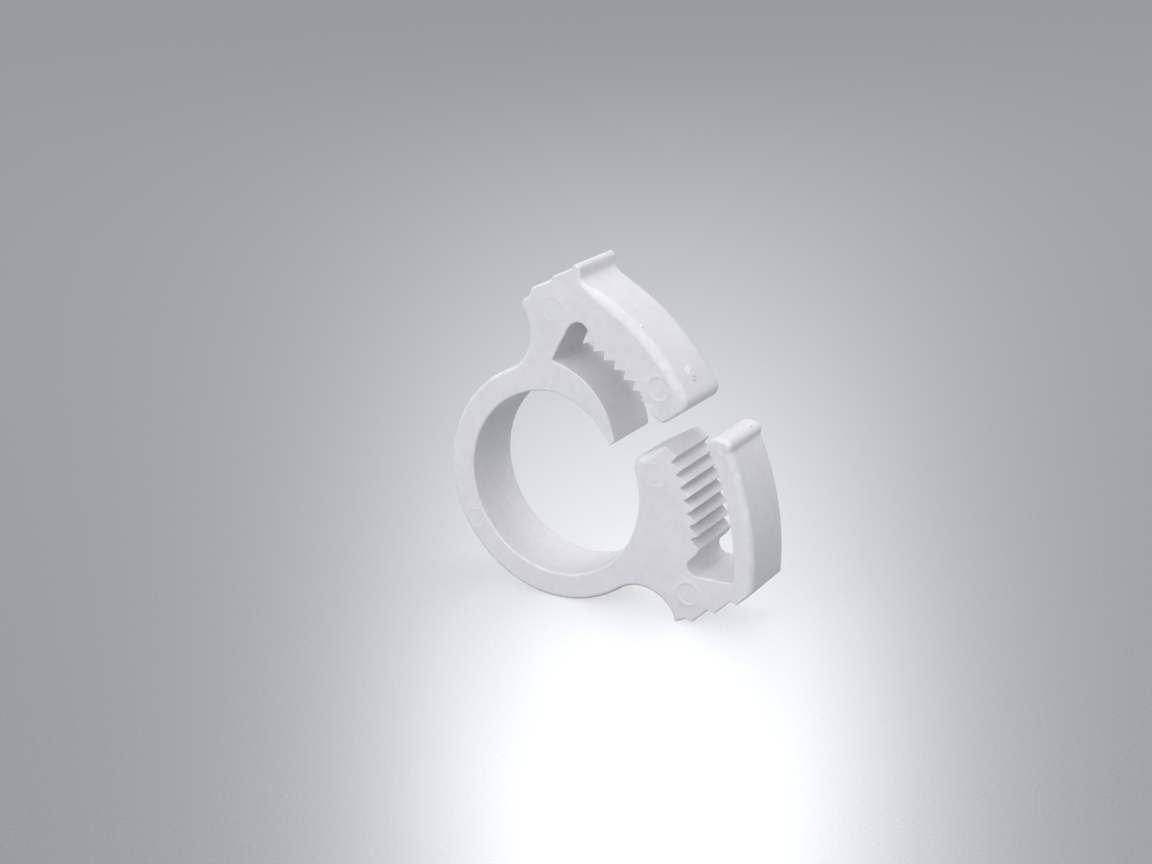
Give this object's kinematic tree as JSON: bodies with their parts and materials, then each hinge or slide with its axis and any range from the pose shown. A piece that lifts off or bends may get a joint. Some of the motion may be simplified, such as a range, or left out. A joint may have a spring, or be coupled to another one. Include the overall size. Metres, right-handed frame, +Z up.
{
  "type": "hose clamp",
  "caption": "Moulded nylon double-grip ratchet hose clamp: a round flexing band whose two toothed plier heads lock together to squeeze a hose.",
  "frame": {"origin": "centre of the hose bore, midway across the clamp's width", "axes": "+Y along the hose axis towards the back face, +Z up with the clamp standing on its band and lower head, +X from the band towards the heads"},
  "size_m": [0.0284, 0.006, 0.029],
  "materials": {
    "nylon": "natural undyed nylon, satin mould finish, slightly translucent"
  },
  "bodies": {
    "lower_head": {"lower_band_root": "nylon", "lower_head_block": "nylon", "lower_prong": "nylon", "lower_prong_teeth": "nylon", "lower_plier_teeth": "nylon"},
    "outer_spring_arm": {"outer_arm": "nylon", "outer_arm_bead": "nylon"},
    "band_1": {"band_link_1": "nylon"},
    "band_2": {"band_link_2": "nylon"},
    "band_3": {"band_link_3": "nylon"},
    "band_4": {"band_link_4": "nylon"},
    "band_5": {"band_link_5": "nylon"},
    "band_6": {"band_link_6": "nylon"},
    "band_7": {"band_link_7": "nylon"},
    "band_8": {"band_link_8": "nylon"},
    "upper_head": {"upper_band_root": "nylon", "upper_neck": "nylon", "upper_head_block": "nylon", "upper_arm": "nylon", "upper_arm_teeth": "nylon", "upper_plier_teeth": "nylon", "upper_horn": "nylon"},
    "tongue": {"inner_tongue": "nylon"}
  },
  "joints": [
    {"name": "closing", "type": "hinge", "parent": "lower_head", "child": "band_1", "pos_m": [0.00428, 0, -0.00806], "axis": [0, 1, 0], "range_deg": [0, 3.15], "stiffness_Nm_per_rad": 0.002},
    {"name": "band_flexure_2", "type": "hinge", "parent": "band_1", "child": "band_2", "pos_m": [0.00131, 0, -0.00903], "axis": [0, 1, 0], "range_deg": [0, 3.15], "stiffness_Nm_per_rad": 0.002},
    {"name": "band_flexure_3", "type": "hinge", "parent": "band_2", "child": "band_3", "pos_m": [-0.00181, 0, -0.00894], "axis": [0, 1, 0], "range_deg": [0, 3.15], "stiffness_Nm_per_rad": 0.002},
    {"name": "band_flexure_4", "type": "hinge", "parent": "band_3", "child": "band_4", "pos_m": [-0.00472, 0, -0.00781], "axis": [0, 1, 0], "range_deg": [0, 3.15], "stiffness_Nm_per_rad": 0.002},
    {"name": "side_release", "type": "hinge", "parent": "band_4", "child": "band_5", "pos_m": [-0.00599, 0, -0.00689], "axis": [-0.7547, 0, 0.6561], "range_deg": [-19, 19], "stiffness_Nm_per_rad": 0.05},
    {"name": "band_flexure_5", "type": "hinge", "parent": "band_5", "child": "band_6", "pos_m": [-0.00708, 0, -0.00576], "axis": [0, 1, 0], "range_deg": [0, 3.15], "stiffness_Nm_per_rad": 0.002},
    {"name": "band_flexure_6", "type": "hinge", "parent": "band_6", "child": "band_7", "pos_m": [-0.00861, 0, -0.00304], "axis": [0, 1, 0], "range_deg": [0, 3.15], "stiffness_Nm_per_rad": 0.002},
    {"name": "band_flexure_7", "type": "hinge", "parent": "band_7", "child": "band_8", "pos_m": [-0.00912, 0, 0.00005], "axis": [0, 1, 0], "range_deg": [0, 3.15], "stiffness_Nm_per_rad": 0.002},
    {"name": "band_flexure_8", "type": "hinge", "parent": "band_8", "child": "upper_head", "pos_m": [-0.00857, 0, 0.00312], "axis": [0, 1, 0], "range_deg": [0, 3.15], "stiffness_Nm_per_rad": 0.002},
    {"name": "tongue_flex", "type": "hinge", "parent": "upper_head", "child": "tongue", "pos_m": [-0.00025, 0, 0.00905], "axis": [0, 1, 0], "range_deg": [0, 27.41], "stiffness_Nm_per_rad": 0.0002},
    {"name": "outer_arm_flex", "type": "hinge", "parent": "lower_head", "child": "outer_spring_arm", "pos_m": [0.01727, 0, -0.0059], "axis": [0, 1, 0], "range_deg": [0, 8.19], "stiffness_Nm_per_rad": 0.0008}
  ],
  "couplings": [
    {"joint": "band_flexure_2", "follows": "closing", "ratio": 1},
    {"joint": "band_flexure_3", "follows": "closing", "ratio": 1},
    {"joint": "band_flexure_4", "follows": "closing", "ratio": 1},
    {"joint": "band_flexure_5", "follows": "closing", "ratio": 1},
    {"joint": "band_flexure_6", "follows": "closing", "ratio": 1},
    {"joint": "band_flexure_7", "follows": "closing", "ratio": 1},
    {"joint": "band_flexure_8", "follows": "closing", "ratio": 1},
    {"joint": "tongue_flex", "follows": "closing", "ratio": 8.7},
    {"joint": "outer_arm_flex", "follows": "closing", "ratio": 2.6}
  ]
}
